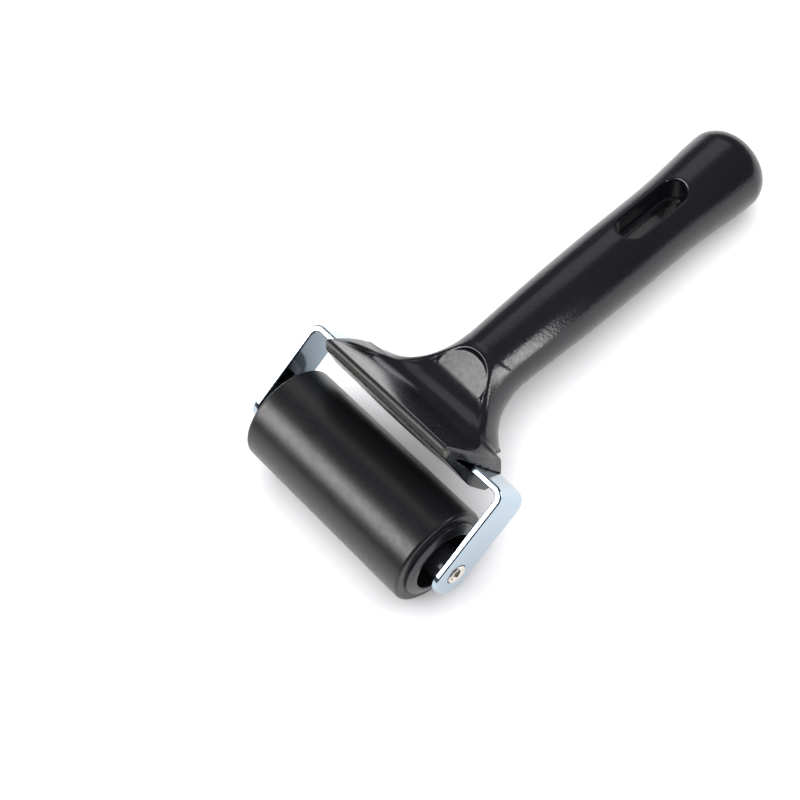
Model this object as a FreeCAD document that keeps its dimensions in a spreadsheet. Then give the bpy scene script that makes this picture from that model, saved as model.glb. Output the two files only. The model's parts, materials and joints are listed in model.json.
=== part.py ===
import FreeCAD, Part
import math
import os
import Sketcher

# A hand brayer for printmaking: a rubber-covered roller that spins on a riveted axle between
# the arms of a bent steel yoke, and a moulded plastic handle whose head grips the yoke.
#
# Every body is drawn in one working frame: x along the roller's axle, y up the yoke's arms
# from the axle to the crosspiece, z out of the front of the tool.  All bodies share one
# Placement, which lays the tool down so that the roller and the handle's end both touch the
# table.  The row frame's origin is on the table, under the middle of the axle.

SIZES = {
    # roller
    "sleeve_length": 58.4,
    "roller_diameter": 28.1,
    "sleeve_wall": 2.5,
    "core_wall": 2.0,
    "sleeve_edge": 0.9,
    "cap_stand": 0.8,
    "cap_ring_rise": 0.8,
    "cap_ring_inner": 1.05,
    "cap_spigot": 8.0,
    "cap_web": 2.0,
    "cap_hub_diameter": 9.0,
    "hub_end_gap": 0.4,
    # axle
    "axle_diameter": 5.0,
    "tenon_diameter": 4.0,
    "axle_clearance": 0.06,
    "rivet_diameter": 5.6,
    "rivet_height": 1.0,
    "rivet_shoulder": 0.86,
    "rivet_crown": 0.4,
    # yoke
    "strap_width": 12.9,
    "strap_thickness": 1.8,
    "arm_spacing": 4.55,
    "cross_height": 22.7,
    "bend_inner": 1.7,
    "arm_tail": 6.3,
    "arm_corner": 5.0,
    "strap_edge": 0.35,
    # handle head; each _y is a height above the crosspiece's underside, but the chin, the
    # heel and the stem's foot are that far below it
    "channel_gap": 0.1,
    "peg_diameter": 4.0,
    "peg_root": 1.0,
    "head_width": 51.0,
    "lip_width": 43.2,
    "lip_top_y": 3.8,
    "lip_top_z": 19.0,
    "lip_nose_y": 2.4,
    "lip_nose_z": 20.1,
    "lip_low_y": 0.3,
    "lip_low_z": 17.0,
    "chin_y": 3.9,
    "chin_z": 2.4,
    "head_rear_z": 1.55,
    "head_top_y": 5.2,
    "head_rear_slope": 3.0,
    "jaw_slope": 2.5,
    "hood_wall": 1.6,
    # handle stem; the belly and the slot are placed back from the stem's end
    "stem_tilt": 30.5,
    "stem_foot": 11.0,
    "neck_radius": 9.6,
    "waist_radius": 10.35,
    "belly_radius": 10.65,
    "knob_radius": 12.0,
    "waist_place": 60.0,
    "belly_start": 45.5,
    "belly_end": 25.5,
    "stem_length": 129.5,
    "end_round": 6.5,
    "slot_place": 35.5,
    "slot_length": 23.4,
    "slot_width": 7.8,
    "flank_radius": 15.0,
    "heel_height": 3.3,
    "heel_z": 2.0,
    "heel_depth": 8.0,
    "heel_inset": 4.0,
    "flank_start": 8.0,
    "panel_depth": 0.9,
    "panel_rim": 2.0,
    "panel_bend_z": 4.0,
    "throat_z": 5.0,
    "throat_flare": 7.0,
    "throat_end_flare": 2.0,
    "thumb_radius": 8.2,
    "thumb_y": 12.5,
    "thumb_z": -9.2,
}

doc = FreeCAD.newDocument("rubber_brayer")
sheet = doc.addObject("Spreadsheet::Sheet", "sizes")
for row, (name, value) in enumerate(SIZES.items(), start=1):
    sheet.set("A%d" % row, name)
    sheet.set("B%d" % row, str(value))
    sheet.setAlias("B%d" % row, name)
doc.recompute()

# Shared places, written as formulas of the sheet's sizes.  S() turns each bare word into a
# reference to its cell.
def S(formula):
    words = []
    word = ""
    for letter in formula + " ":
        if letter.isalnum() or letter == "_":
            word += letter
            continue
        words.append("sizes." + word if word in SIZES else word)
        words.append(letter)
        word = ""
    return "".join(words).strip()


def value_of(formula):
    """The number that a formula of the sheet's sizes gives now."""
    result = sheet.evalExpression(S(formula))
    return float(getattr(result, "Value", result))


RADIUS = "(roller_diameter / 2)"
CAP_X = "(sleeve_length / 2 + cap_stand)"
ARM_IN = "(sleeve_length / 2 + arm_spacing)"
ARM_OUT = "(sleeve_length / 2 + arm_spacing + strap_thickness)"
CROSS_TOP = "(cross_height + strap_thickness)"
CORE_R = "(roller_diameter / 2 - sleeve_wall)"
CORE_IN = "(roller_diameter / 2 - sleeve_wall - core_wall)"
HEAD_TOP = "(cross_height + head_top_y)"
HEAD_REAR = "(-1 * (strap_width / 2 + head_rear_z))"
LIP_TOP = "(cross_height + lip_top_y)"
LIP_NOSE = "(cross_height + lip_nose_y)"
LIP_LOW = "(cross_height + lip_low_y)"
CHIN = "(cross_height - chin_y)"
HEEL = "(cross_height - heel_height)"
STEM_FOOT = "(cross_height - stem_foot)"
SLOT_PLACE = "(stem_length - slot_place)"
OVERCUT = "0.5"    # how far a cutter starts outside the material
COS = "cos(stem_tilt * 1 deg)"
SIN = "sin(stem_tilt * 1 deg)"


def stem_point(along, out):
    """A point of the stem's plane, given along its axis and out from it towards the front."""
    y = "(%s + (%s) * %s + (%s) * %s)" % (STEM_FOOT, along, COS, out, SIN)
    z = "((%s) * %s - (%s) * %s)" % (out, COS, along, SIN)
    return y, z


# The tool lies on a table plane that touches the roller's underside and the round of the
# handle's end.  LAY is the angle that brings that plane level.
FOOT_Y, FOOT_Z = stem_point("(stem_length - end_round)", "(end_round - knob_radius)")
LAY = ("(atan2(-1 * %s; %s) + asin((end_round - %s) / hypot(%s; %s)))"
       % (FOOT_Z, FOOT_Y, RADIUS, FOOT_Y, FOOT_Z))


def lay_down(thing):
    thing.Placement = FreeCAD.Placement(FreeCAD.Vector(0, 0, 0),
                                        FreeCAD.Rotation(FreeCAD.Vector(1, 0, 0), 1))
    thing.setExpression("Placement.Rotation.Angle", S(LAY))
    thing.setExpression("Placement.Base.z", S(RADIUS))


def new_body(name):
    body = doc.addObject("PartDesign::Body", name)
    body.Label = name
    return body


def new_sketch(body, name, plane, offset=None):
    """A sketch on one of the body's own origin planes, moved along the plane's normal."""
    sketch = body.newObject("Sketcher::SketchObject", name)
    for feature in body.Origin.OriginFeatures:
        if feature.Role == plane:
            sketch.AttachmentSupport = [(feature, "")]
    sketch.MapMode = "FlatFace"
    if offset is not None:
        sketch.setExpression("AttachmentOffset.Base.z", S(offset))
    return sketch


def pin_point(sketch, geometry, position, x, y):
    """Ties one point of a sketch to two formulas."""
    for kind, formula in (("DistanceX", x), ("DistanceY", y)):
        number = sketch.addConstraint(
            Sketcher.Constraint(kind, -1, 1, geometry, position, value_of(formula)))
        sketch.setExpression("Constraints[%d]" % number, S(formula))


def add_polygon(sketch, corners):
    """A closed outline of straight runs; each corner is a pair of formulas."""
    places = [FreeCAD.Vector(value_of(x), value_of(y), 0) for x, y in corners]
    first = sketch.GeometryCount
    count = len(places)
    for i in range(count):
        sketch.addGeometry(Part.LineSegment(places[i], places[(i + 1) % count]), False)
    for i in range(count):
        after = first + (i + 1) % count
        sketch.addConstraint(Sketcher.Constraint("Coincident", first + i, 2, after, 1))
    for i, (x, y) in enumerate(corners):
        pin_point(sketch, first + i, 1, x, y)


def add_circle(sketch, x, y, radius):
    centre = FreeCAD.Vector(value_of(x), value_of(y), 0)
    up = FreeCAD.Vector(0, 0, 1)
    circle = sketch.addGeometry(Part.Circle(centre, up, value_of(radius)), False)
    pin_point(sketch, circle, 3, x, y)
    number = sketch.addConstraint(Sketcher.Constraint("Radius", circle, value_of(radius)))
    sketch.setExpression("Constraints[%d]" % number, S(radius))


def add_ellipse(sketch, x, y, half_wide, half_deep):
    """An ellipse with its axes along the sketch's; its centre and half axes are formulas."""
    centre = FreeCAD.Vector(value_of(x), value_of(y), 0)
    wide = value_of(half_wide)
    deep = value_of(half_deep)
    side = centre + FreeCAD.Vector(wide, 0, 0)
    top = centre + FreeCAD.Vector(0, deep, 0)
    ellipse = Part.Ellipse(side, top, centre) if wide >= deep else Part.Ellipse(top, side, centre)
    sketch.addGeometry(ellipse, False)


def revolve(body, sketch, kind, axis):
    turn = body.newObject("PartDesign::" + kind, kind.lower())
    turn.Profile = sketch
    turn.ReferenceAxis = (sketch, [axis])
    turn.Angle = 360
    return turn


def extrude(body, sketch, kind, formula, both_ways=True, name=None):
    block = body.newObject("PartDesign::" + kind, name or kind.lower())
    block.Profile = sketch
    block.Midplane = both_ways
    block.setExpression("Length", S(formula))
    return block


def round_edges(body, base, edges, formula):
    fillet = body.newObject("PartDesign::Fillet", "fillet")
    fillet.Base = (base, edges)
    fillet.setExpression("Radius", S(formula))
    return fillet


def edges_where(feature, test):
    """Names of the edges of a feature that pass a test."""
    return ["Edge%d" % (i + 1) for i, edge in enumerate(feature.Shape.Edges) if test(edge)]


# ---------------------------------------------------------------- roller

def tube(name, inner, outer, half_length):
    """A plain tube round the axle, drawn as half of its section."""
    body = new_body(name)
    sketch = new_sketch(body, name + "_section", "XY_Plane")
    add_polygon(sketch, [("-1 * " + half_length, inner), (half_length, inner),
                         (half_length, outer), ("-1 * " + half_length, outer)])
    turn = revolve(body, sketch, "Revolution", "H_Axis")
    return body, turn


def make_rubber_sleeve():
    body, turn = tube("rubber_sleeve", CORE_R, RADIUS, "(sleeve_length / 2)")
    doc.recompute()
    rim = value_of(RADIUS) - 0.01

    def outer_rim(edge):
        return isinstance(edge.Curve, Part.Circle) and edge.Curve.Radius > rim

    round_edges(body, turn, edges_where(turn, outer_rim), "sleeve_edge")
    return body


def make_core_tube():
    return tube("core_tube", CORE_IN, CORE_R, "(sleeve_length / 2)")[0]


def make_end_cap(name, side):
    """A moulded plug: spigot in the core tube, ring proud of the roller's end, hollow with a
    web, and a hub that carries the axle."""
    body = new_body(name)
    sketch = new_sketch(body, name + "_section", "XY_Plane")
    bore = "(axle_diameter / 2 + axle_clearance)"
    hub = "(cap_hub_diameter / 2)"
    ring_in = "(%s - cap_ring_inner)" % CORE_IN
    tube_end = "(sleeve_length / 2)"
    spigot_end = "(sleeve_length / 2 - cap_spigot)"
    outline = [
        (spigot_end, bore), (ARM_IN + " - hub_end_gap", bore), (ARM_IN + " - hub_end_gap", hub),
        (spigot_end + " + cap_web", hub), (spigot_end + " + cap_web", ring_in + " - cap_ring_rise"),
        (CAP_X + " + cap_ring_rise", ring_in), (CAP_X, CORE_R), (tube_end, CORE_R),
        (tube_end, CORE_IN), (spigot_end, CORE_IN),
    ]
    add_polygon(sketch, [("%d * (%s)" % (side, x), r) for x, r in outline])
    revolve(body, sketch, "Revolution", "H_Axis")
    return body


def make_axle():
    """A steel rod with a shoulder inside each arm and a rivet head peened outside it."""
    body = new_body("axle")
    sketch = new_sketch(body, "axle_section", "XY_Plane")
    rod = "(axle_diameter / 2)"
    tenon = "(tenon_diameter / 2)"
    head = "(rivet_diameter / 2)"
    half = [(ARM_IN, rod), (ARM_IN, tenon), (ARM_OUT, tenon), (ARM_OUT, head),
            (ARM_OUT + " + rivet_height / 2", head + " * rivet_shoulder"),
            (ARM_OUT + " + rivet_height", head + " * rivet_crown"), (ARM_OUT + " + rivet_height", "0")]
    left = [("-1 * (%s)" % x, r) for x, r in reversed(half)]
    add_polygon(sketch, left + half)
    revolve(body, sketch, "Revolution", "H_Axis")
    return body


# ---------------------------------------------------------------- yoke

def make_yoke():
    """A flat steel strap bent twice into a square arch, its tails rounded below the axle."""
    body = new_body("yoke")
    sketch = new_sketch(body, "yoke_outline", "XY_Plane")
    tail = "(-1 * arm_tail)"
    inner, outer = ARM_IN, ARM_OUT
    add_polygon(sketch, [
        ("-1 * " + outer, tail), ("-1 * " + inner, tail), ("-1 * " + inner, "cross_height"),
        (inner, "cross_height"), (inner, tail), (outer, tail), (outer, CROSS_TOP),
        ("-1 * " + outer, CROSS_TOP)])
    arch = extrude(body, sketch, "Pad", "strap_width")
    doc.recompute()
    cross_y = value_of("cross_height")
    top_y = value_of(CROSS_TOP)

    def along_z(edge):
        ends = [v.Point for v in edge.Vertexes]
        return len(ends) == 2 and abs(ends[0].z - ends[1].z) > 1

    def inner_bend(edge):
        return along_z(edge) and abs(edge.Vertexes[0].Point.y - cross_y) < 0.01

    def outer_bend(edge):
        return along_z(edge) and abs(edge.Vertexes[0].Point.y - top_y) < 0.01

    bend = round_edges(body, arch, edges_where(arch, inner_bend), "bend_inner")
    doc.recompute()
    bend = round_edges(body, bend, edges_where(bend, outer_bend), "bend_inner + strap_thickness")
    doc.recompute()

    def tail_corner(edge):
        ends = [v.Point for v in edge.Vertexes]
        low = all(abs(p.y + value_of("arm_tail")) < 0.01 for p in ends)
        return low and len(ends) == 2 and abs(ends[0].x - ends[1].x) > 1

    tails = round_edges(body, bend, edges_where(bend, tail_corner), "arm_corner")
    holes = new_sketch(body, "axle_holes", "YZ_Plane")
    add_circle(holes, "0", "0", "tenon_diameter / 2")
    drilled = extrude(body, holes, "Pocket", "2 * " + ARM_OUT + " + 2", name="axle_drilling")
    doc.recompute()
    peg_hole = new_sketch(body, "peg_hole", "XZ_Plane")
    add_circle(peg_hole, "0", "0", "peg_diameter / 2 + channel_gap")
    extrude(body, peg_hole, "Pocket", "2 * %s + 2" % CROSS_TOP, name="peg_drilling")
    doc.recompute()

    def long_edge(edge):
        ends = [v.Point for v in edge.Vertexes]
        on_side = all(abs(abs(p.z) - value_of("strap_width / 2")) < 0.01 for p in ends)
        return on_side and len(ends) == 2

    base = body.Tip
    round_edges(body, base, edges_where(base, long_edge), "strap_edge")
    return body


# ---------------------------------------------------------------- handle

NECK_STEPS = 6


def make_hood(body):
    """The head: a block with a nosed lip along its front, narrower at the lip."""
    sketch = new_sketch(body, "hood_profile", "YZ_Plane")
    slope_z = HEAD_REAR + " + head_rear_slope"
    add_polygon(sketch, [
        (LIP_TOP, "lip_top_z"), (LIP_NOSE, "lip_nose_z"), (LIP_LOW, "lip_low_z"),
        (CHIN, "chin_z"), (CHIN, slope_z), (CHIN + " + jaw_slope", HEAD_REAR),
        (CROSS_TOP, HEAD_REAR), (HEAD_TOP, slope_z), (HEAD_TOP, "0")])
    extrude(body, sketch, "Pad", "head_width", name="hood")
    doc.recompute()
    plan = new_sketch(body, "head_plan", "XZ_Plane")
    for side in (1, -1):
        wide = "(%d * head_width / 2)" % side
        past = "(%d * (head_width / 2 + %s))" % (side, OVERCUT)
        front = "lip_nose_z + " + OVERCUT
        add_polygon(plan, [("(%d * lip_width / 2)" % side, front), (wide, HEAD_REAR),
                           (past, HEAD_REAR), (past, front)])
    extrude(body, plan, "Pocket", "4 * " + HEAD_TOP, name="end_tapers")
    doc.recompute()


def make_neck(body):
    """The head's middle rises from a heel under the strap and flares into the stem, with
    flanks that are quarter circles in the front view."""
    stem_z = "(-1 * (%%s - %s) * tan(stem_tilt * 1 deg))" % STEM_FOOT
    depth = "(neck_radius / %s)" % COS
    heel_wide = "(head_width / 2 - heel_inset)"
    levels = [(HEEL, heel_wide, "(-1 * heel_z)", "heel_depth")]
    for step in range(NECK_STEPS + 1):
        turn = "((flank_start + (90 - flank_start) * %d / %d) * 1 deg)" % (step, NECK_STEPS)
        height = "(%s + flank_radius * (1 - cos(%s)))" % (HEAD_TOP, turn)
        half_width = "(neck_radius + flank_radius * (1 - sin(%s)))" % turn
        levels.append((height, half_width, stem_z % height, depth))
    sections = []
    for i, (height, half_width, z, deep) in enumerate(levels):
        sketch = new_sketch(body, "neck_%d" % i, "XZ_Plane", "-1 * " + height)
        add_ellipse(sketch, "0", z, half_width, deep)
        sections.append(sketch)
    neck = body.newObject("PartDesign::AdditiveLoft", "neck")
    neck.Profile = sections[0]
    neck.Sections = sections[1:]
    neck.Ruled = True
    doc.recompute()


def make_stem(body):
    """The grip: a turned form, slimmest at the neck and swelling to a rounded end."""
    sketch = new_sketch(body, "stem_profile", "YZ_Plane")
    start = "(%s + flank_radius - %s) / %s - neck_radius" % (HEAD_TOP, STEM_FOOT, COS)
    stations = [(start, "0"), (start, "neck_radius"), ("waist_place", "waist_radius"),
                ("stem_length - belly_start", "belly_radius"),
                ("stem_length - belly_end", "belly_radius"),
                ("stem_length - end_round", "knob_radius"), ("stem_length", "knob_radius"),
                ("stem_length", "0")]
    add_polygon(sketch, [stem_point(s, r) for s, r in stations])
    stem = body.newObject("PartDesign::Revolution", "stem")
    stem.Profile = sketch
    stem.ReferenceAxis = (sketch, ["Edge%d" % sketch.GeometryCount])
    stem.Angle = 360
    doc.recompute()
    far = value_of(stem_point("stem_length", "0")[0])

    def end_rim(edge):
        return isinstance(edge.Curve, Part.Circle) and abs(edge.Curve.Center.y - far) < 0.5

    round_edges(body, stem, edges_where(stem, end_rim), "end_round")
    doc.recompute()


def cut_channel(body):
    """The channel that the strap lies in, and the hollow in front of it."""
    sketch = new_sketch(body, "channel_profile", "YZ_Plane")
    low, high = "cross_height - channel_gap", CROSS_TOP + " + channel_gap"
    side = "(strap_width / 2 + channel_gap)"
    add_polygon(sketch, [(low, "-1 * " + side), (high, "-1 * " + side), (high, side),
                         (LIP_TOP + " - hood_wall", "lip_low_z - 3 * hood_wall"),
                         (LIP_LOW + " + hood_wall / 2", "lip_low_z - 3 * hood_wall"),
                         (low, side)])
    extrude(body, sketch, "Pocket", "head_width + 2 * " + OVERCUT, name="channel")
    doc.recompute()


def add_peg(body):
    """A moulded peg across the channel holds the strap through its middle hole."""
    sketch = new_sketch(body, "peg_outline", "XZ_Plane", "-1 * (cross_height - peg_root)")
    add_circle(sketch, "0", "0", "peg_diameter / 2")
    peg = extrude(body, sketch, "Pad", "strap_thickness + 2 * peg_root", both_ways=False, name="peg")
    peg.Reversed = True
    doc.recompute()


def cut_panels(body):
    """The sunken bell-shaped panel: over the head's top, then up the neck to a round end
    for the thumb."""
    rim = "(head_width / 2 - panel_rim * 2)"
    throat = "(thumb_radius + throat_flare)"
    throat_end = "(thumb_radius + throat_end_flare)"
    top = new_sketch(body, "top_panel", "XZ_Plane", "-1 * (%s - panel_depth)" % LIP_TOP)
    add_polygon(top, [
        ("-1 * (lip_width / 2 - panel_rim / 2)", "lip_top_z - panel_rim"),
        ("(lip_width / 2 - panel_rim / 2)", "lip_top_z - panel_rim"), (rim, "panel_bend_z"),
        (throat, "-1 * throat_z"), (throat_end, "thumb_z"),
        ("-1 * " + throat_end, "thumb_z"), ("-1 * " + throat, "-1 * throat_z"),
        ("-1 * " + rim, "panel_bend_z")])
    cut = extrude(body, top, "Pocket", "flank_radius", both_ways=False, name="top_panel_cut")
    cut.Reversed = False
    doc.recompute()
    face = new_sketch(body, "thumb_panel", "XY_Plane", "thumb_z")
    add_circle(face, "0", "cross_height + thumb_y", "thumb_radius")
    cut = extrude(body, face, "Pocket", "3 * thumb_radius", both_ways=False, name="thumb_cut")
    cut.Reversed = True
    doc.recompute()


def cut_hang_slot(body):
    """A long round-ended hole square through the grip."""
    sketch = new_sketch(body, "slot_outline", "XY_Plane")
    sketch.AttachmentOffset = FreeCAD.Placement(
        FreeCAD.Vector(0, 1, 0), FreeCAD.Rotation(FreeCAD.Vector(-1, 0, 0), 1))
    sketch.setExpression("AttachmentOffset.Base.y", S(STEM_FOOT))
    sketch.setExpression("AttachmentOffset.Rotation.Angle", S("stem_tilt * 1 deg"))
    half = value_of("slot_width / 2")
    low_end = SLOT_PLACE + " - (slot_length - slot_width) / 2"
    high_end = SLOT_PLACE + " + (slot_length - slot_width) / 2"
    ends = [value_of(low_end), value_of(high_end)]
    up = FreeCAD.Vector(0, 0, 1)
    near, far = FreeCAD.Vector(0, ends[0], 0), FreeCAD.Vector(0, ends[1], 0)
    side = FreeCAD.Vector(half, 0, 0)
    sketch.addGeometry(Part.LineSegment(near + side, far + side), False)
    sketch.addGeometry(Part.ArcOfCircle(Part.Circle(far, up, half), 0, math.pi), False)
    sketch.addGeometry(Part.LineSegment(far - side, near - side), False)
    sketch.addGeometry(
        Part.ArcOfCircle(Part.Circle(near, up, half), math.pi, 2 * math.pi), False)
    for first, first_end, second, second_end in ((0, 2, 1, 1), (1, 2, 2, 1), (2, 2, 3, 1),
                                                 (3, 2, 0, 1)):
        sketch.addConstraint(
            Sketcher.Constraint("Coincident", first, first_end, second, second_end))
    sketch.addConstraint(Sketcher.Constraint("Vertical", 0))
    pin_point(sketch, 1, 3, "0", high_end)
    pin_point(sketch, 3, 3, "0", low_end)
    number = sketch.addConstraint(Sketcher.Constraint("Radius", 1, half))
    sketch.setExpression("Constraints[%d]" % number, S("slot_width / 2"))
    extrude(body, sketch, "Pocket", "4 * knob_radius", name="hang_slot")
    doc.recompute()


def make_handle():
    body = new_body("handle")
    for step in (make_hood, make_neck, make_stem, cut_channel, add_peg, cut_panels,
                 cut_hang_slot):
        before = body.Shape.Volume if body.Tip else 0
        step(body)
        print("%-14s %9.1f -> %9.1f mm3" % (step.__name__, before, body.Shape.Volume))
    return body


pieces = [make_rubber_sleeve(), make_core_tube(), make_end_cap("end_cap_left", -1),
          make_end_cap("end_cap_right", 1), make_axle(), make_yoke(), make_handle()]
for piece in pieces:
    lay_down(piece)
doc.recompute()

problems = [thing.Name for thing in doc.Objects
            if "Invalid" in thing.State or "Error" in thing.State]
problems += [piece.Label for piece in pieces
             if piece.Shape.isNull() or not piece.Shape.isValid()]
if problems:
    raise RuntimeError("these did not build: " + ", ".join(problems))

os.makedirs("parts", exist_ok=True)
for piece in pieces:
    piece.Shape.exportStep(os.path.join("parts", piece.Label + ".step"))
    box = piece.Shape.BoundBox
    print("%-16s volume %9.1f  x %.1f..%.1f  y %.1f..%.1f  z %.1f..%.1f" % (
        piece.Label, piece.Shape.Volume, box.XMin, box.XMax, box.YMin, box.YMax,
        box.ZMin, box.ZMax))
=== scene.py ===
import json
import math

import bpy
import numpy as np
from mathutils import Matrix, Quaternion, Vector


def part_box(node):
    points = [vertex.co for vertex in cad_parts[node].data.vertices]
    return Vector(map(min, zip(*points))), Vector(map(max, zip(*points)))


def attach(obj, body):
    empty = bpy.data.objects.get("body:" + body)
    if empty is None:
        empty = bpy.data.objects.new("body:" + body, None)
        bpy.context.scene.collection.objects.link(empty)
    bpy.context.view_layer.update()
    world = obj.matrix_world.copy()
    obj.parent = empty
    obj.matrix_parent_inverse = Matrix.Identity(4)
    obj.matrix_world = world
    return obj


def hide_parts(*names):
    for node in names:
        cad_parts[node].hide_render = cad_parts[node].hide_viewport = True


# The looks of a rubber brayer: a rubber-covered roller in a bent steel yoke, held by a glossy
# moulded handle.  Shapes are drawn in millimetres in the tool's own frame: x along the axle,
# a up the yoke's arms from the axle to the crosspiece, n out of the front of the tool.
# to_row() turns that frame into the row's metres.

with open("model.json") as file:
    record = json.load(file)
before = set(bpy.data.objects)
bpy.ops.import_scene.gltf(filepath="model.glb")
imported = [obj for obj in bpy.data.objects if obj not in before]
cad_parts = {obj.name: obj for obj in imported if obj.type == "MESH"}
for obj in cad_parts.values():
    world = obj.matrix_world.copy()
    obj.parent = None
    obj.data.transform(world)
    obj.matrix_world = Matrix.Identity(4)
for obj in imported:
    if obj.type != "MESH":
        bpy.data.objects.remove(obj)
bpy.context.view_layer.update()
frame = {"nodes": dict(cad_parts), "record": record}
METRE = 1000.0


def box_size(node):
    low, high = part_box(node)
    return (high - low) * METRE


# ---------------------------------------------------------------- driving sizes, mm

SLEEVE_LENGTH = box_size("rubber_sleeve").x
ROLLER_R = box_size("rubber_sleeve").z / 2
ARM_OUT = box_size("yoke").x / 2
RIVET_END = box_size("axle").x / 2
STRAP_THICK = 1.8
STRAP_WIDTH = 12.9
ARM_IN = ARM_OUT - STRAP_THICK
CROSS_IN = 22.7
CROSS_OUT = CROSS_IN + STRAP_THICK
ARM_TAIL = -6.3
TAIL_CORNER = 5.0
BEND_IN = 1.7
STRAP_EDGE = 0.45
AXLE_R = 2.5
TENON_R = 2.0
RIVET_R = 2.75
RIVET_SEAT_R = 2.95

STEM_TILT = math.radians(30.5)
STEM_FOOT = 11.7
STEM_LENGTH = 129.5
STEM_END_ROUND = 6.5
STEM_START = 24
STEM_START_EDGE = 3
KNOB_R = 12.0
END_CROWN = 0.7
GRIP = ((20, 8.9), (40, 9.6), (60, 10.35), (80, 10.65), (102, 10.7), (123, KNOB_R), (131, KNOB_R))
SLOT_PLACE = 94.0
SLOT_HALF = 11.7
SLOT_R = 4.0
SLOT_DRAFT = 0.4
SLOT_LEDGE = 0.8
SLOT_LEDGE_OUT = 3.0
SLOT_LEDGE_EDGE = 0.4
SLOT_HALF_DEPTH = 10
SLOT_RIM = 0.9

HEAD_TOP = 27.9
FLANK_R = 15.0
FLANK_FLARE = 13.8
NECK_R = 9.9
NECK_TAPER = 0.06

slot_axis = next(m["axis"] for m in frame["record"]["mounts"] if m["name"] == "hang_slot")
LAY = STEM_TILT - math.atan2(slot_axis[1], slot_axis[2])
ROW = (Matrix.Translation((0, 0, ROLLER_R / METRE)) @ Matrix.Rotation(LAY, 4, "X")
       @ Matrix.Scale(1 / METRE, 4))


def to_row(points):
    """Points of the tool's frame, in the row's frame."""
    turn = np.array(ROW.to_3x3())
    return points @ turn.T + np.array(ROW.translation)


# ---------------------------------------------------------------- solids as distance fields

SLOPE_REACH = 0.05
PULLS = 6
LEAST_SLOPE = 0.05


def join(a, b, r):
    """Both solids, with a concave fillet of radius r where they cross."""
    return np.maximum(r, np.minimum(a, b)) - np.hypot(np.maximum(r - a, 0), np.maximum(r - b, 0))


def meet(a, b, r):
    """What two solids share, with its new edges rounded to radius r."""
    return np.minimum(-r, np.maximum(a, b)) + np.hypot(np.maximum(r + a, 0), np.maximum(r + b, 0))


def carve(a, b, r):
    """The first solid without the second."""
    return meet(a, -b, r)


def eased(x, stations):
    """A smooth curve through (place, value) stations, held level past its ends."""
    place, value = np.array(stations, float).T
    tilt = np.gradient(value, place)
    i = np.clip(np.searchsorted(place, x) - 1, 0, len(place) - 2)
    span = place[i + 1] - place[i]
    t = np.clip((x - place[i]) / span, 0, 1)
    rise = t * t * (3 - 2 * t)
    sway = t * (1 - t) * span * ((1 - t) * tilt[i] - t * tilt[i + 1])
    return value[i] + rise * (value[i + 1] - value[i]) + sway


def prism(u, v, corners, r):
    """Distance to a convex outline's prism, its corners rounded to radius r."""
    corners = np.array(corners, float)
    middle = corners.mean(0)
    result = None
    for start, end in zip(corners, np.roll(corners, -1, 0)):
        run = (end - start) / np.linalg.norm(end - start)
        normal = np.array([run[1], -run[0]])
        if (middle - start) @ normal > 0:
            normal = -normal
        side = (u - start[0]) * normal[0] + (v - start[1]) * normal[1]
        result = side if result is None else meet(result, side, r)
    return result


def slope(field, points):
    """The field's gradient at some points, by small steps either way."""
    reach = SLOPE_REACH
    columns = []
    for axis in range(3):
        ahead, behind = points.copy(), points.copy()
        ahead[:, axis] += reach
        behind[:, axis] -= reach
        columns.append((field(*ahead.T) - field(*behind.T)) / (2 * reach))
    return np.stack(columns, 1)


def solid_mesh(field, low, high, step):
    """The zero surface of a field as points, quads and normals: one point in each grid cell
    that the surface crosses, moved onto it, with the field's slope as its normal."""
    low = np.array(low, float)
    counts = np.ceil((np.array(high) - low) / step).astype(int) + 1
    lines = [low[i] + step * np.arange(counts[i]) for i in range(3)]
    inside = field(*np.meshgrid(*lines, indexing="ij")) < 0
    cells = np.zeros(tuple(counts - 1), int)
    for i in (0, 1):
        for j in (0, 1):
            for k in (0, 1):
                cells += inside[i:counts[0] - 1 + i, j:counts[1] - 1 + j, k:counts[2] - 1 + k]
    mixed = (cells > 0) & (cells < 8)
    number = np.full(mixed.shape, -1)
    number[mixed] = np.arange(mixed.sum())
    points = low + step * (np.argwhere(mixed) + 0.5)
    for _ in range(PULLS):
        tilt = slope(field, points)
        move = field(*points.T) / np.maximum((tilt ** 2).sum(1), LEAST_SLOPE)
        points -= np.clip(move, -step, step)[:, None] * tilt
    normals = slope(field, points)
    normals /= np.linalg.norm(normals, axis=1)[:, None]
    quads = []
    unit = np.eye(3, dtype=int)
    for axis in range(3):
        u, v = unit[(axis + 1) % 3], unit[(axis + 2) % 3]
        spots = np.argwhere(inside != np.roll(inside, -1, axis))
        ring = [spots - u - v, spots - v, spots, spots - u]
        ring = np.stack([number[tuple(cell.T)] for cell in ring], 1)
        entering = ~inside[tuple(spots.T)]
        ring[entering] = ring[entering][:, ::-1]
        quads.append(ring)
    return points, np.concatenate(quads), normals


# ---------------------------------------------------------------- pieces

def new_piece(name, points, faces, normals, body, nodes, slot, material):
    """A smooth mesh that stands for CAD nodes and rides on their body."""
    mesh = bpy.data.meshes.new(name)
    mesh.from_pydata(to_row(points).tolist(), [], faces.tolist())
    mesh.shade_smooth()
    turn = np.array(ROW.to_3x3()) * METRE
    mesh.normals_split_custom_set_from_vertices((normals @ turn.T).tolist())
    mesh.materials.append(material)
    piece = bpy.data.objects.new(name, mesh)
    bpy.context.scene.collection.objects.link(piece)
    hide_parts(*nodes)
    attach(piece, body)
    return piece


def mark(piece, name, values):
    """Gives each point of a piece a number that its material can read."""
    field = piece.data.attributes.new(name, "FLOAT", "POINT")
    field.data.foreach_set("value", values)


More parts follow.
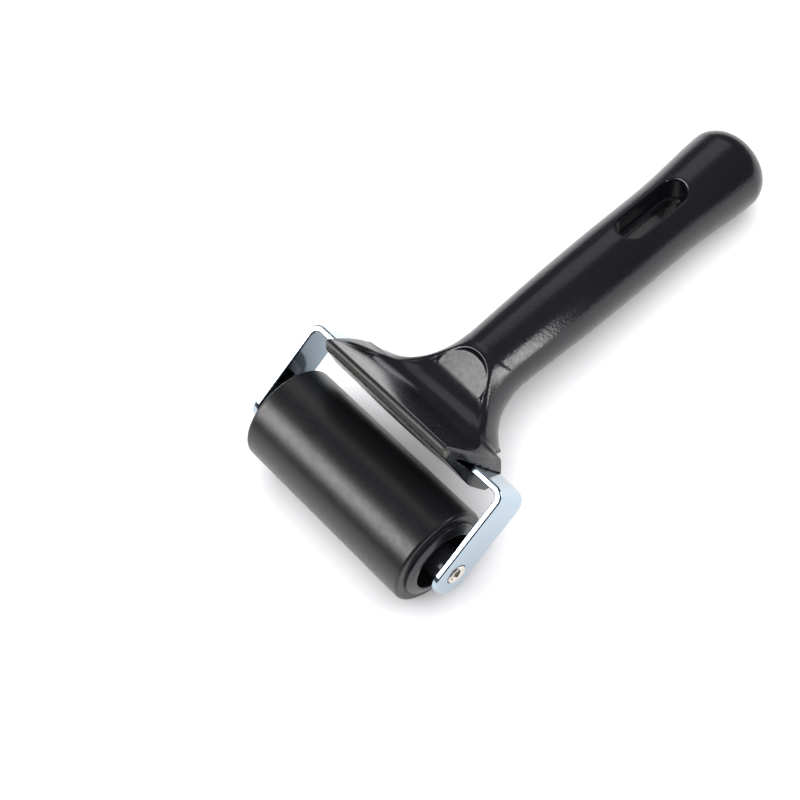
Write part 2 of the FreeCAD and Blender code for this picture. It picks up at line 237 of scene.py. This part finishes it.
def rounded_outline(corners, steps=6):
    """A closed outline with each corner (x, y, radius) as an arc: points and outward normals."""
    places = np.array([c[:2] for c in corners], float)
    following = np.roll(places, -1, 0)
    area = np.sum(places[:, 0] * following[:, 1] - following[:, 0] * places[:, 1])
    points, normals = [], []
    for i, (x, y, radius) in enumerate(corners):
        before = places[i - 1] - places[i]
        after = places[(i + 1) % len(places)] - places[i]
        before /= np.linalg.norm(before)
        after /= np.linalg.norm(after)
        half = math.acos(np.clip(before @ after, -1, 1)) / 2
        middle = before + after
        middle /= np.linalg.norm(middle)
        centre = places[i] + middle * radius / math.sin(half)
        turn = before[0] * after[1] - before[1] * after[0]
        convex = 1 if turn * area < 0 else -1
        first = np.array([-before[1], before[0]])
        if first @ middle > 0:
            first = -first
        sweep = math.pi - 2 * half
        way = 1 if first[0] * -middle[1] + first[1] * middle[0] > 0 else -1
        for t in np.linspace(0, 1, steps):
            angle = way * sweep * t
            c, s = math.cos(angle), math.sin(angle)
            outward = np.array([c * first[0] - s * first[1], s * first[0] + c * first[1]])
            points.append(centre + outward * radius)
            normals.append(outward * convex)
    return np.array(points), np.array(normals), area > 0


def turned_mesh(corners, segments):
    """A ring turned round the axle from a closed outline of (x, radius, corner radius)."""
    outline, outward, anticlockwise = rounded_outline(corners)
    turns = np.linspace(0, 2 * math.pi, segments, endpoint=False)
    c, s = np.cos(turns)[:, None], np.sin(turns)[:, None]
    ones = np.ones_like(c)
    points = np.stack([ones * outline[:, 0], c * outline[:, 1], s * outline[:, 1]], -1)
    normals = np.stack([ones * outward[:, 0], c * outward[:, 1], s * outward[:, 1]], -1)
    count = len(outline)
    number = np.arange(segments * count).reshape(segments, count)
    following = np.roll(number, -1, 0)
    quads = np.stack([number, np.roll(number, -1, 1), np.roll(following, -1, 1), following], -1)
    if not anticlockwise:
        quads = quads[..., ::-1]
    return points.reshape(-1, 3), quads.reshape(-1, 4), normals.reshape(-1, 3)


# ---------------------------------------------------------------- handle

HEAD_PROFILE = ((26.5, 19.0), (25.1, 20.1), (23.0, 17.0), (18.8, 2.4), (18.8, -6.0), (20.6, -8.0),
                (24.5, -7.6), (27.9, -4.4), (27.9, 0.0))
HEAD_END = ((-9, 25.6), (-6, 25.6), (3, 25.0), (12, 23.1), (19, 21.7), (22, 21.6))
TOP_TILT = math.atan2(HEAD_TOP - HEAD_PROFILE[0][0], HEAD_PROFILE[0][1])
HEAD_EDGE = 0.35
HEAD_END_EDGE = 0.5
END_SQUASH = 0.95
DRAFT = 0.3
DRAFT_FROM_A = 24.5
DRAFT_FROM_N = 12
DRAFT_RUN = 14
HEEL_A = 19.4
HEEL_EDGE = 2.5
NECK_CENTRE = ((HEEL_A, -2.0), (24, -4.6), (27, -6.6), (28.2, -8.0), (29.2, -9.9), (30.5, -11.07),
               (31.5, -11.66))
NECK_DEPTH = ((HEEL_A, 7.0), (27.4, 9.0), (29.5, 10.4), (32, 11.1))
NECK_END = 46
NECK_END_EDGE = 2
FLANK_DROP = 0.985
TAPER_FROM_A = 38
SCOOP_N = -8.1
SCOOP_R = 7.5
FLOOR_TOP = 26.2
FLOOR_N = -8.9
FLOOR_R = 9.0
DISH_R = 60.0
PANEL_RIM = ((10, 21.4), (20, 21.3), (28.7, 18.4), (34.4, 14.6), (39.2, 10.9), (44.7, 8.1),
             (50, 8.1))
THUMB_A = 35.2
THUMB_R = 8.2
CHANNEL_GAP = 0.1
CHANNEL_EDGE = 0.05
HOLLOW_REAR = 4
HOLLOW_TOP = ((24.4, HOLLOW_REAR), (24.4, 12.2), (23.6, 13.2))
HOLLOW_EDGE = 0.3
CUT_RIM = 0.15
PEG_R = 2.0
PEG_ROOT = 3
PEG_EDGE = 0.1
HEAD_FILLET = 2.0
SCOOP_RIM = 1.0
STEM_FILLET = 0.3
POCKET_EDGE = 0.5
FLARE_SQUASH = 0.8
FLARE_END_EDGE = 0.01
# Where the lip's front gets a painted highlight: a lighter olive grey in its base colour.
LIP_HIGHLIGHT_N = 16.6
LIP_HIGHLIGHT_A = 25.6
LIP_HIGHLIGHT_FADE_N = 0.6
LIP_HIGHLIGHT_FADE_A = 0.5
POLISH_REACH = 0.25
POLISHED_GRAIN = 0.12
HANDLE_LOW = (-27, -9, -14)
HANDLE_HIGH = (27, 130, 27)
DIMPLE = (22.0, 25.0, 18.5)
DIMPLE_R = 0.8


def stem_frame(a, n):
    """How far along the stem's axis a point is, and how far out of it to the front."""
    along = (a - STEM_FOOT) * math.cos(STEM_TILT) - n * math.sin(STEM_TILT)
    out = (a - STEM_FOOT) * math.sin(STEM_TILT) + n * math.cos(STEM_TILT)
    return along, out


def head_field(x, a, n):
    profile = prism(a, n, HEAD_PROFILE, HEAD_EDGE)
    draft = DRAFT * np.maximum(a - DRAFT_FROM_A, 0) * np.clip((DRAFT_FROM_N - n) / DRAFT_RUN, 0, 1)
    ends = (np.abs(x) - eased(n, HEAD_END) + draft) * END_SQUASH
    return meet(profile, ends, HEAD_END_EDGE)


def flank_half_width(a):
    """Half the neck's width at each height: a quarter ellipse down to the head's level."""
    drop = np.clip((HEAD_TOP + FLANK_R - a) / FLANK_R, 0, FLANK_DROP)
    taper = NECK_TAPER * np.maximum(a - TAPER_FROM_A, 0)
    return NECK_R + FLANK_FLARE * (1 - np.sqrt(1 - drop ** 2)) - taper


def neck_field(x, a, n):
    """The flare from the head's rear up into the stem, of elliptical sections."""
    wide = flank_half_width(a)
    centre = np.where(a < NECK_CENTRE[-1][0], eased(a, NECK_CENTRE),
                      -(a - STEM_FOOT) * math.tan(STEM_TILT))
    deep = eased(a, NECK_DEPTH)
    ring = np.hypot(x / wide, (n - centre) / deep)
    section = (ring - 1) * np.minimum(wide, deep)
    section = meet(section, HEEL_A - a, HEEL_EDGE)
    return meet(section, a - NECK_END, NECK_END_EDGE)


def stem_field(x, a, n):
    along, out = stem_frame(a, n)
    radius = np.hypot(x, out)
    grip = radius - eased(along, GRIP)
    dome = along - STEM_LENGTH + END_CROWN * (radius / KNOB_R) ** 2
    return meet(meet(grip, dome, STEM_END_ROUND), STEM_START - along, STEM_START_EDGE)


def scoop_field(a, n):
    """The air over the head's top and before the stem's front, its inner corner rounded."""
    above = (a - HEAD_TOP) * math.cos(TOP_TILT) + np.maximum(n, 0) * math.sin(TOP_TILT)
    return meet(-above, SCOOP_N - n, SCOOP_R)


def panel_field(x, a, n):
    """The outline of the sunken panel, along the scoop from the lip to the thumb end."""
    past_thumb = a - n - (THUMB_A - SCOOP_N)
    flare = meet(np.abs(x) - eased(a - n, PANEL_RIM), past_thumb, FLARE_END_EDGE)
    thumb = np.hypot(x, past_thumb) - THUMB_R
    return np.minimum(flare * FLARE_SQUASH, thumb)


def pocket_field(x, a, n):
    """The air in the sunken panel: a flat floor that turns up into a slightly dished rest."""
    dish = FLOOR_N + x ** 2 / (2 * DISH_R)
    floor = meet(FLOOR_TOP - a, dish - n, FLOOR_R)
    return meet(floor, panel_field(x, a, n), POCKET_EDGE)


def handle_field(x, a, n):
    along, out = stem_frame(a, n)
    body = join(head_field(x, a, n), neck_field(x, a, n), HEAD_FILLET)
    body = carve(body, scoop_field(a, n), SCOOP_RIM)
    body = join(body, stem_field(x, a, n), STEM_FILLET)
    body = carve(body, pocket_field(x, a, n), POCKET_EDGE)
    slot_r = SLOT_R - SLOT_DRAFT * (1 - np.minimum(np.abs(out) / SLOT_HALF_DEPTH, 1))
    slot_r = slot_r - SLOT_LEDGE * np.clip((SLOT_LEDGE_OUT - out) / SLOT_LEDGE_EDGE, 0, 1)
    slot = np.hypot(np.maximum(np.abs(along - SLOT_PLACE) - SLOT_HALF + SLOT_R, 0), x) - slot_r
    body = carve(body, slot, SLOT_RIM)
    low, high = CROSS_IN - CHANNEL_GAP, CROSS_OUT + CHANNEL_GAP
    side = STRAP_WIDTH / 2 + CHANNEL_GAP
    section = ((low, -side), (high, -side), (high, side), (low, side))
    channel = prism(a, n, section, CHANNEL_EDGE)
    hollow = prism(a, n, ((low, HOLLOW_REAR), *HOLLOW_TOP), HOLLOW_EDGE)
    body = carve(body, np.minimum(channel, hollow), CUT_RIM)
    peg = meet(np.hypot(x, n) - PEG_R, np.abs(a - CROSS_IN) - PEG_ROOT, PEG_EDGE)
    body = np.minimum(body, peg)
    dimple = np.sqrt((np.abs(x) - DIMPLE[0]) ** 2 + (a - DIMPLE[1]) ** 2 + (n - DIMPLE[2]) ** 2)
    return carve(body, dimple - DIMPLE_R, CUT_RIM)


def make_handle(material, step):
    """Meshed on a grid that runs along the stem, with the sunken panel marked as polished and
    the lip's front marked for a painted highlight in a lighter olive grey."""
    def turned_field(x, along, out):
        a = STEM_FOOT + along * math.cos(STEM_TILT) + out * math.sin(STEM_TILT)
        n = out * math.cos(STEM_TILT) - along * math.sin(STEM_TILT)
        return handle_field(x, a, n)

    points, quads, normals = solid_mesh(turned_field, HANDLE_LOW, HANDLE_HIGH, step)
    turn = np.array([[1, 0, 0],
                     [0, math.cos(STEM_TILT), -math.sin(STEM_TILT)],
                     [0, math.sin(STEM_TILT), math.cos(STEM_TILT)]])
    points = points @ turn + np.array([0, STEM_FOOT, 0])
    piece = new_piece("moulded_handle", points, quads, normals @ turn, "frame", ["handle"],
                      "handle_plastic", material)
    x, a, n = points.T
    polished = np.abs(pocket_field(x, a, n)) < POLISH_REACH
    mark(piece, "grain", np.where(polished, POLISHED_GRAIN, 1.0))
    # Painted highlight: how much of the lighter olive grey each point of the lip's front gets.
    lip_highlight_share = np.clip((n - LIP_HIGHLIGHT_N) / LIP_HIGHLIGHT_FADE_N, 0, 1) * np.clip((LIP_HIGHLIGHT_A - a) / LIP_HIGHLIGHT_FADE_A, 0, 1)
    mark(piece, "lip_highlight", lip_highlight_share)
    return piece


# ---------------------------------------------------------------- yoke and axle

SEAT_DEPTH = 0.5
SEAT_EDGE = 0.1
DRILL_EDGE = 0.15
PEG_HOLE_EDGE = 0.1
SHOULDER_GAP = 0.05
TENON_GAP = 0.02
ROD_EDGE = 0.1
RIVET_CROWN = 0.75
RIVET_EDGE = 0.3
NICK_DEPTH = 0.65
NICK_CORNER = 0.2
NICK_EDGE = 0.1
NICKS = (((-0.3, 0.9), (1.7, 0.9), (1.7, 3), (-0.3, 3)),
         ((-2, 1.6), (-0.8, 1.6), (-0.8, 3), (-2, 3)))


def yoke_field(x, a, n):
    """A strap bent twice into an arch, its tails rounded, drilled for the axle and the peg."""
    reach = np.maximum(np.abs(x) - ARM_OUT + BEND_IN + STRAP_THICK, 0)
    rise = np.maximum(a - CROSS_OUT + BEND_IN + STRAP_THICK, 0)
    outer = np.hypot(reach, rise) - BEND_IN - STRAP_THICK
    flat = np.minimum(np.maximum(np.abs(x) - ARM_OUT, a - CROSS_OUT) + BEND_IN + STRAP_THICK, 0)
    depth = -(outer + flat)
    strap = np.abs(depth - STRAP_THICK / 2) - STRAP_THICK / 2
    side = np.abs(n) - STRAP_WIDTH / 2
    plate = meet(side, ARM_TAIL - a, TAIL_CORNER)
    body = meet(strap, plate, STRAP_EDGE)
    drill = np.hypot(a, n) - TENON_R
    seat = meet(np.hypot(a, n) - RIVET_SEAT_R, ARM_OUT - SEAT_DEPTH - np.abs(x), SEAT_EDGE)
    body = carve(body, np.minimum(drill, seat), DRILL_EDGE)
    peg_hole = np.hypot(x, n) - PEG_R - CHANNEL_GAP
    return carve(body, peg_hole, PEG_HOLE_EDGE)


def make_yoke(material, step):
    """Its grid starts a third of a cell low, so that no plane of it lies in a flat face."""
    reach = ARM_OUT + 1
    low = (-reach, ARM_TAIL - 1 - step / 3, -STRAP_WIDTH / 2 - 1)
    high = (reach, CROSS_OUT + 1, STRAP_WIDTH / 2 + 1)
    points, quads, normals = solid_mesh(yoke_field, low, high, step)
    return new_piece("bent_yoke", points, quads, normals, "frame", ["yoke"], "plated_steel",
                     material)


def axle_field(x, a, n):
    """A rod shouldered between the arms, its peened ends domed and nicked by the hammer."""
    radius = np.hypot(a, n)
    far = np.abs(x)
    rod = meet(radius - AXLE_R, far - ARM_IN + SHOULDER_GAP, ROD_EDGE)
    tenon = np.maximum(radius - TENON_R + TENON_GAP, far - ARM_OUT)
    dome_drop = RIVET_CROWN * (radius / RIVET_R) ** 2
    head = meet(radius - RIVET_R, far - RIVET_END + dome_drop, RIVET_EDGE)
    head = np.maximum(head, ARM_OUT - SEAT_DEPTH - far)
    nick = np.minimum(*(prism(a, n, corners, NICK_CORNER) for corners in NICKS))
    nick = np.maximum(nick, RIVET_END - NICK_DEPTH - far)
    head = carve(head, nick, NICK_EDGE)
    return np.minimum(np.minimum(rod, tenon), head)


def make_axle(material, step):
    reach = RIVET_END + 0.6
    room = 3.2
    low = (-reach, -room, -room)
    high = (reach, room, room)
    points, quads, normals = solid_mesh(axle_field, low, high, step)
    return new_piece("peened_axle", points, quads, normals, "frame", ["axle"], "axle_steel",
                     material)


# ---------------------------------------------------------------- roller

CORE_R = ROLLER_R - 2.5
SLEEVE_EDGE = 0.9
BORE_EDGE = 0.1
SLEEVE_SEGMENTS = 256
CAP_SEGMENTS = 224
CAP_RING_IN = 8.5
CAP_STAND = 0.8
CAP_RISE = 0.8
CAP_HUB_R = 4.5
HUB_END = ARM_IN - 0.4
BORE_R = AXLE_R + 0.06
SPIGOT = 8.0
CORE_IN = CORE_R - 2.0
CAP_WEB = 2
RECESS_FLARE = 0.6
CROWN_R = 9.3
CROWN_DROP = 0.15
SKIRT = 0.75
SKIRT_IN = 0.3
FLANGE_IN = 0.35
FLANGE_SINK = 0.02


def make_sleeve(material):
    half = SLEEVE_LENGTH / 2
    corners = [(-half, CORE_R, BORE_EDGE), (half, CORE_R, BORE_EDGE),
               (half, ROLLER_R, SLEEVE_EDGE), (-half, ROLLER_R, SLEEVE_EDGE)]
    return new_piece("rubber_cover", *turned_mesh(corners, SLEEVE_SEGMENTS), "roller",
                     ["rubber_sleeve"], "roller_rubber", material)


def make_cap(name, node, side, material):
    """A moulded end plug: spigot, domed ring proud of the roller's end, recess and hub.  Each
    corner is (x, radius, rounding)."""
    end = SLEEVE_LENGTH / 2
    ring = end + CAP_STAND + CAP_RISE
    inner = end - SPIGOT
    web = inner + CAP_WEB
    seat = end - FLANGE_SINK
    corners = [
        (inner, BORE_R, 0.1), (HUB_END, BORE_R, 0.15), (HUB_END, CAP_HUB_R, 0.3),
        (web, CAP_HUB_R, 0.3), (web, CAP_RING_IN - RECESS_FLARE, 0.4), (ring, CAP_RING_IN, 0.25),
        (ring - CROWN_DROP, CROWN_R, 0.3), (end + SKIRT, CORE_R - SKIRT_IN, 0.35),
        (seat, CORE_R - FLANGE_IN, 0.05), (seat, CORE_IN, 0.05), (inner, CORE_IN, 0.3),
    ]
    corners = [(side * x, r, edge) for x, r, edge in corners]
    return new_piece(name, *turned_mesh(corners, CAP_SEGMENTS), "roller", [node], "cap_plastic",
                     material)


# ---------------------------------------------------------------- materials

class Finish:
    """One Principled material and the nodes that vary it, in object coordinates."""

    def __init__(self, name, **settings):
        self.material = bpy.data.materials.new(name)
        self.material.use_nodes = True
        self.tree = self.material.node_tree
        self.shader = self.tree.nodes["Principled BSDF"]
        for key, value in settings.items():
            self.shader.inputs[key.replace("_", " ")].default_value = value
        self.place = self.node("ShaderNodeTexCoord").outputs["Object"]

    def node(self, kind, **inputs):
        node = self.tree.nodes.new(kind)
        for key, value in inputs.items():
            socket = node.inputs[key.replace("_", " ")]
            if isinstance(value, bpy.types.NodeSocket):
                self.tree.links.new(value, socket)
            else:
                socket.default_value = value
        return node

    def stretched(self, scale):
        return self.node("ShaderNodeMapping", Vector=self.place, Scale=scale).outputs["Vector"]

    def marked(self, name):
        node = self.tree.nodes.new("ShaderNodeAttribute")
        node.attribute_name = name
        return node.outputs["Fac"]

    def noise(self, scale, detail=2.0, roughness=0.5, place=None):
        node = self.node("ShaderNodeTexNoise", Vector=place or self.place, Scale=scale,
                         Detail=detail, Roughness=roughness)
        return node.outputs["Fac"]

    def mapped(self, value, low, high, start=0.0, end=1.0):
        node = self.node("ShaderNodeMapRange", Value=value)
        node.inputs["From Min"].default_value = start
        node.inputs["From Max"].default_value = end
        node.inputs["To Min"].default_value = low
        node.inputs["To Max"].default_value = high
        return node.outputs["Result"]

    def blend(self, share, first, second):
        node = self.tree.nodes.new("ShaderNodeMix")
        node.data_type = "RGBA"
        self.tree.links.new(share, node.inputs["Factor"])
        for socket, value in ((node.inputs[6], first), (node.inputs[7], second)):
            if isinstance(value, bpy.types.NodeSocket):
                self.tree.links.new(value, socket)
            else:
                socket.default_value = (*value, 1)
        return node.outputs[2]

    def bump(self, height, distance, strength=1.0, over=None):
        node = self.node("ShaderNodeBump", Height=height, Distance=distance, Strength=strength)
        if over is not None:
            self.tree.links.new(over, node.inputs["Normal"])
        return node.outputs["Normal"]

    def feed(self, key, value):
        self.tree.links.new(value, self.shader.inputs[key])


def handle_plastic():
    """Glossy black moulded plastic with an orange-peel grain."""
    finish = Finish("gloss_black_plastic", Roughness=0.2, IOR=1.5)
    cloudy = finish.noise(60, 3)
    black = finish.blend(cloudy, (0.0055, 0.0055, 0.0075), (0.009, 0.009, 0.012))
    # Painted highlight: the lip's front is painted a lighter olive grey over the black.
    finish.feed("Base Color", finish.blend(finish.marked("lip_highlight"), black, (0.1, 0.1, 0.09)))
    finish.feed("Roughness", finish.mapped(finish.noise(900, 3), 0.17, 0.27, 0.3, 0.7))
    peel = finish.bump(finish.noise(1500, 1.5), 0.00005, finish.marked("grain"))
    finish.feed("Normal", finish.bump(finish.noise(5200, 1), 0.00001, 0.8, peel))
    return finish.material


def roller_rubber():
    """Satin black ground rubber with a faint lathe grain and a few specks of dust."""
    finish = Finish("satin_black_rubber", Roughness=0.4, IOR=1.5)
    cloudy = finish.noise(45, 3)
    black = finish.blend(cloudy, (0.005, 0.005, 0.006), (0.009, 0.009, 0.010))
    specks = finish.node("ShaderNodeTexVoronoi", Vector=finish.place, Scale=75.0)
    dust = finish.mapped(specks.outputs["Distance"], 1, 0, 0.016, 0.03)
    finish.feed("Base Color", finish.blend(dust, black, (0.3, 0.3, 0.3)))
    finish.feed("Roughness", finish.mapped(finish.noise(700, 3), 0.3, 0.38, 0.3, 0.7))
    rings = finish.noise(1, 2, place=finish.stretched((3000, 60, 60)))
    grain = finish.bump(rings, 0.000004, 0.5)
    finish.feed("Normal", finish.bump(finish.noise(4000, 2), 0.000012, 0.6, grain))
    return finish.material


def plated_steel():
    """Bright zinc plate: mirror-like, cool, with faint rolling waves along the strap."""
    finish = Finish("zinc_plate", Metallic=1.0, Roughness=0.12)
    tone = finish.blend(finish.noise(55, 3), (0.37, 0.48, 0.54), (0.44, 0.5, 0.57))
    finish.feed("Base Color", tone)
    finish.feed("Roughness", finish.mapped(finish.noise(400, 3), 0.09, 0.17, 0.3, 0.7))
    waves = finish.bump(finish.noise(140, 2), 0.00006, 0.35)
    finish.feed("Normal", finish.bump(finish.noise(3000, 2), 0.000006, 0.5, waves))
    return finish.material


def axle_steel():
    """Plain steel, warm beside the zinc, dented where it was peened."""
    finish = Finish("peened_steel", Metallic=1.0, Roughness=0.3)
    tone = finish.blend(finish.noise(500, 3), (0.55, 0.5, 0.45), (0.8, 0.76, 0.7))
    finish.feed("Base Color", tone)
    finish.feed("Roughness", finish.mapped(finish.noise(1500, 2), 0.22, 0.4, 0.3, 0.7))
    finish.feed("Normal", finish.bump(finish.noise(900, 2), 0.00015, 0.6))
    return finish.material


def cap_plastic():
    finish = Finish("black_cap_plastic", Roughness=0.2, IOR=1.5)
    tone = finish.blend(finish.noise(90, 3), (0.008, 0.008, 0.01), (0.016, 0.016, 0.02))
    finish.feed("Base Color", tone)
    finish.feed("Roughness", finish.mapped(finish.noise(900, 3), 0.16, 0.26, 0.3, 0.7))
    finish.feed("Normal", finish.bump(finish.noise(1800, 2), 0.00002, 0.6))
    return finish.material


def core_plastic():
    finish = Finish("grey_core_plastic", Roughness=0.5, IOR=1.5)
    tone = finish.blend(finish.noise(120, 3), (0.03, 0.03, 0.035), (0.05, 0.05, 0.055))
    finish.feed("Base Color", tone)
    finish.feed("Roughness", finish.mapped(finish.noise(900, 3), 0.4, 0.6, 0.3, 0.7))
    finish.feed("Normal", finish.bump(finish.noise(2200, 2), 0.00002, 0.6))
    return finish.material


def floor_paper():
    """Pale paper with a slight glow, so that the tool's shadows stay faint as in the photo."""
    finish = Finish("pale_floor", Roughness=0.9, Emission_Color=(1, 1, 1, 1),
                    Emission_Strength=0.12)
    tone = finish.blend(finish.noise(8, 2), (0.93, 0.93, 0.94), (0.96, 0.96, 0.965))
    finish.feed("Base Color", tone)
    return finish.material


# ---------------------------------------------------------------- build

HANDLE_STEP = 0.45
YOKE_STEP = 0.3
AXLE_STEP = 0.25
make_handle(handle_plastic(), HANDLE_STEP)
make_yoke(plated_steel(), YOKE_STEP)
make_axle(axle_steel(), AXLE_STEP)
make_sleeve(roller_rubber())
cap_finish = cap_plastic()
make_cap("left_end_cap", "end_cap_left", -1, cap_finish)
make_cap("right_end_cap", "end_cap_right", 1, cap_finish)
core = frame["nodes"]["core_tube"]
core.data.materials.clear()
core.data.materials.append(core_plastic())


# ---------------------------------------------------------------- stage

FLOOR_HALF = 1.5
SURROUND = (0.88, 0.87, 1, 1)
SURROUND_STRENGTH = 0.12
LIT_MIDDLE = (0, 0.05, 0.01)
LIT_NECK = (0.008, 0.046, 0.025)
CAMERA_LENS = 73.36
CAMERA_SENSOR = 36
CAMERA_PLACE = (175.17, -75.15, 380.66)
CAMERA_AIM = (-17.69, 26.55, 0)
CAMERA_ROLL = math.radians(-16.206)


def make_floor():
    half = FLOOR_HALF
    corners = [(-half, -half, 0), (half, -half, 0), (half, half, 0), (-half, half, 0)]
    mesh = bpy.data.meshes.new("floor")
    mesh.from_pydata(corners, [], [(0, 1, 2, 3)])
    mesh.materials.append(floor_paper())
    floor = bpy.data.objects.new("floor", mesh)
    bpy.context.scene.collection.objects.link(floor)


def soft_light(name, aim, direction, distance, width, height, power, only):
    """An area light that faces a point from a direction in the row's frame, its width level
    with the axle.  One that is only "gloss" shows in reflections alone, and one that is only
    "fill" lights without showing."""
    lamp = bpy.data.lights.new(name, "AREA")
    lamp.shape = "RECTANGLE"
    lamp.size = width
    lamp.size_y = height
    lamp.energy = power
    light = bpy.data.objects.new(name, lamp)
    away = Vector(direction).normalized()
    across = Vector((1, 0, 0)) if abs(away.x) < 0.8 else Vector((0, 1, 0))
    across = (across - away * across.dot(away)).normalized()
    turn = Matrix((across, away.cross(across), away)).transposed()
    light.matrix_world = Matrix.Translation(Vector(aim) + away * distance) @ turn.to_4x4()
    light.visible_camera = False
    light.visible_glossy = only != "fill"
    light.visible_diffuse = only != "gloss"
    bpy.context.scene.collection.objects.link(light)
    return light


def make_lights():
    world = bpy.data.worlds.new("studio")
    world.use_nodes = True
    background = world.node_tree.nodes["Background"]
    background.inputs["Color"].default_value = SURROUND
    background.inputs["Strength"].default_value = SURROUND_STRENGTH
    bpy.context.scene.world = world
    soft_light("key", LIT_MIDDLE, (-0.47, -0.65, 0.6), 0.9, 0.62, 0.44, 7.5, "gloss")
    soft_light("neck_strip", LIT_NECK, (0.87, 0.38, 0.32), 0.07, 0.014, 0.05, 0.026, "gloss")
    soft_light("far_left", LIT_MIDDLE, (-0.47, 0.5, 0.73), 0.7, 0.45, 0.35, 0.4, "gloss")
    soft_light("overhead_fill", LIT_MIDDLE, (0, 0.1, 1), 1.4, 2.6, 2.6, 56, "fill")


def make_camera():
    """A long lens from the front right, a little past overhead, turned on its axis."""
    data = bpy.data.cameras.new("camera")
    data.lens = CAMERA_LENS
    data.sensor_width = CAMERA_SENSOR
    camera = bpy.data.objects.new("camera", data)
    place = Vector(CAMERA_PLACE) / METRE
    aim = Vector(CAMERA_AIM) / METRE
    look = (aim - place).to_track_quat("-Z", "Y")
    roll = Quaternion((0, 0, 1), CAMERA_ROLL)
    camera.matrix_world = Matrix.Translation(place) @ (look @ roll).to_matrix().to_4x4()
    bpy.context.scene.collection.objects.link(camera)
    bpy.context.scene.camera = camera


make_floor()
make_lights()
make_camera()
bpy.context.scene.view_settings.view_transform = "Standard"
